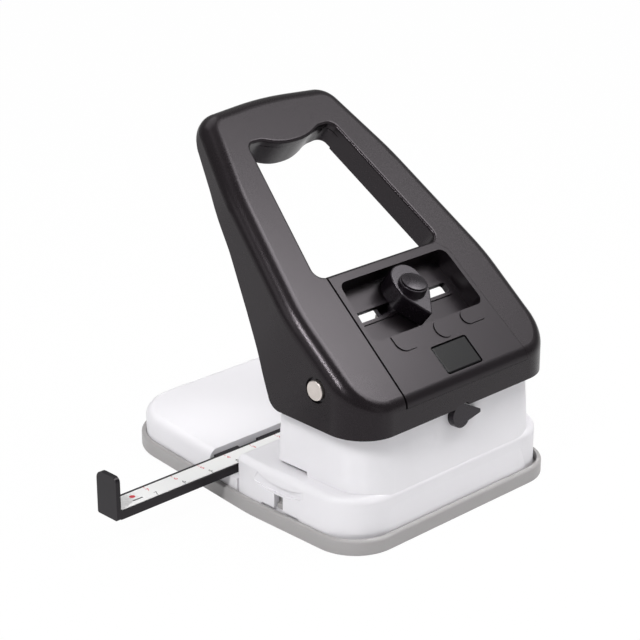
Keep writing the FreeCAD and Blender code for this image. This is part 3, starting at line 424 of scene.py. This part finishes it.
# ribs under the panel's left seam, so that no light passes through it; outlines run across the
# face and up its slope, in mm
seamRibs = {"outlines": {"seamRibHigh": [(-24.8, 15.6), (-21.72, 15.6), (-21.72, 20.5), (-20.52, 35.6),
                                         (-20.52, 39.4), (-23.9, 39.4)],
                         "seamRibLow": [(-25.4, 1.2), (-20.4, 1.2), (-20.4, 4.4), (-25.4, 4.4)]},
            "top": 2.22 * mm, "bottom": 3.7 * mm, "edge": 0.12 * mm, "edgeSteps": 2,
            "faceFoot": (0.0, -53.0 * mm, 42.35 * mm), "faceTilt": 39.0}


def makeSeamRib(name, outline, look):
    turn = Matrix.Rotation(math.radians(look["faceTilt"]), 4, "X")
    bm = bmesh.new()
    lower, upper = ([bm.verts.new((x * mm, up * mm, -depth)) for x, up in outline]
                    for depth in (look["bottom"], look["top"]))
    bm.faces.new(lower[::-1])
    bm.faces.new(upper)
    for place in range(len(lower)):
        bm.faces.new((lower[place - 1], lower[place], upper[place], upper[place - 1]))
    bmesh.ops.bevel(bm, geom=bm.edges[:], offset=look["edge"], segments=look["edgeSteps"], affect="EDGES")
    bm.transform(Matrix.Translation(look["faceFoot"]) @ turn)
    addPiece(name, bm, finish["smooth"], "handle")


for name, outline in seamRibs["outlines"].items():
    makeSeamRib(name, outline, seamRibs)
print("ribs under the seam")


# room: floor, sky, lamps and camera; glow is how white the camera sees the floor
room = {"floorSize": 8.0, "floorCells": 8, "floorColor": (0.74, 0.74, 0.745), "floorRough": 0.9,
        "floorGloss": 0.1, "glow": 0.985, "white": (1.0, 1.0, 1.0), "world": 0.33}
lamps = {
    "overhead": {"spot": (0.05, 0.55, 1.20), "wide": 1.2, "deep": 0.8, "watts": 4.2},
    "leftFill": {"spot": (-1.10, 0.30, 0.60), "wide": 0.5, "deep": 0.5, "watts": 1.1},
    "frontFill": {"spot": (0.15, -1.30, 0.40), "wide": 0.5, "deep": 0.5, "watts": 0.3},
    "leftEdge": {"spot": (-0.42, -0.13, 0.46), "wide": 0.04, "deep": 0.16, "watts": 2.0},
    "wideSheen": {"spot": (0.56, -0.18, 0.72), "wide": 0.45, "deep": 0.45, "watts": 1.25},
    "nearSheen": {"spot": (0.105, -0.120, 0.310), "wide": 0.15, "deep": 0.15, "watts": 0.62},
}
lookAt = Vector((0.0, 0.0, 0.045))
camera = {"spot": (-0.37488, -0.38008, 0.25354), "azimuth": -44.34, "height": 21.42, "lens": 110.26,
          "sensor": 36}


def floorFinish(name, look):
    # the camera sees near white with the shadow on it; the object is lit by the plain colour
    bench = newBench(name)
    seenBy = [bench.add("ShaderNodeLightPath", out=f"Is {ray} Ray")
              for ray in ("Camera", "Glossy", "Transmission")]
    seen = bench.add("ShaderNodeMath", {"operation": "MINIMUM"}, {0: sum(seenBy), 1: 1.0})
    bench.set(color=look["floorColor"], rough=look["floorRough"], gloss=look["floorGloss"])
    bare = Tap(bench, bench.surface.outputs[0])
    white = bench.add("ShaderNodeEmission", None, {"Color": look["white"], "Strength": 1.0})
    mixed = bench.add("ShaderNodeMixShader", None, {0: 1 - seen * look["glow"], 1: white, 2: bare})
    bench.feed(bench.tree.nodes["Material Output"].inputs["Surface"], mixed)
    return bench.owner


def makeFloor(look):
    bm = bmesh.new()
    bmesh.ops.create_grid(bm, x_segments=look["floorCells"], y_segments=look["floorCells"],
                          size=look["floorSize"] / 2)
    mesh = bpy.data.meshes.new("floor")
    bm.to_mesh(mesh)
    bm.free()
    floor = bpy.data.objects.new("floor", mesh)
    bpy.context.scene.collection.objects.link(floor)
    mesh.materials.append(floorFinish("paleFloor", look))


def makeSky(look):
    # full white for the camera, softer as a light
    bench = Bench(bpy.data.worlds.new("studio"), "Background")
    seen = bench.add("ShaderNodeLightPath", out="Is Camera Ray")
    bench.feed(bench.surface.inputs["Color"], look["white"])
    bench.set(glow=around((look["world"] + 1) / 2, (seen, 1 - look["world"])))
    bpy.context.scene.world = bench.owner


def makeLamp(name, look):
    lamp = bpy.data.lights.new(name, "AREA")
    lamp.shape = "RECTANGLE"
    lamp.size = look["wide"]
    lamp.size_y = look["deep"]
    lamp.energy = look["watts"]
    holder = bpy.data.objects.new(name, lamp)
    holder.location = look["spot"]
    holder.visible_camera = False
    holder.rotation_euler = (lookAt - Vector(look["spot"])).to_track_quat("-Z", "Y").to_euler()
    bpy.context.scene.collection.objects.link(holder)


def makeCamera(look):
    turn = math.radians(look["azimuth"])
    rise = math.radians(look["height"])
    back = Vector((math.sin(turn) * math.cos(rise), -math.cos(turn) * math.cos(rise), math.sin(rise)))
    right = Vector((math.cos(turn), math.sin(turn), 0))
    aim = Matrix((right, back.cross(right), back)).transposed().to_4x4()
    lens = bpy.data.cameras.new("camera")
    lens.lens = look["lens"]
    lens.sensor_width = look["sensor"]
    holder = bpy.data.objects.new("camera", lens)
    holder.matrix_world = Matrix.Translation(look["spot"]) @ aim
    bpy.context.scene.collection.objects.link(holder)
    bpy.context.scene.camera = holder


makeFloor(room)
makeSky(room)
for name, look in lamps.items():
    makeLamp(name, look)
makeCamera(camera)
bpy.context.scene.view_settings.view_transform = "Standard"
print("room lit, camera set")
